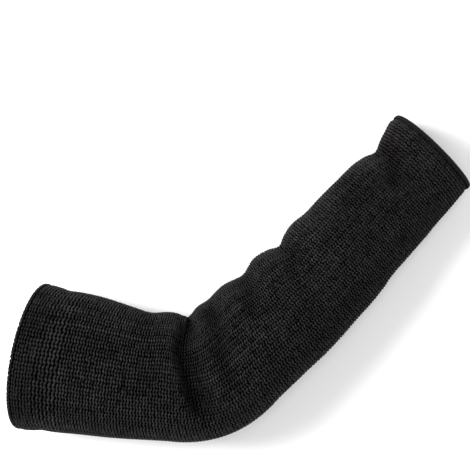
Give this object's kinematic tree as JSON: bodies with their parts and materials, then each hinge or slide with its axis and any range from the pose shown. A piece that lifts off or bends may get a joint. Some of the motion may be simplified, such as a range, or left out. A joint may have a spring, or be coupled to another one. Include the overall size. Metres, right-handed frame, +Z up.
{
  "type": "cut resistant sleeve",
  "caption": "Long seamless knitted protective sleeve from upper arm to wrist, bent at the elbow, with a turned welt and an overlocked wrist edge.",
  "frame": {"origin": "middle of the outline on the surface that the sleeve lies on", "axes": "+X along the forearm towards the wrist, +Z up from the surface, the inner elbow towards +Y"},
  "size_m": [0.4344, 0.2226, 0.0878],
  "materials": {
    "knit": "charcoal black plain knit of a heavy yarn, matt with a faint sheen on each stitch",
    "welt": "the same black yarn in a finer, tighter knit",
    "edging": "wrapped black overlock thread, slightly smoother than the knit"
  },
  "bodies": {
    "root": {"knit_tube": "knit", "upper_arm_welt": "welt", "wrist_overlock": "edging"}
  },
  "joints": []
}
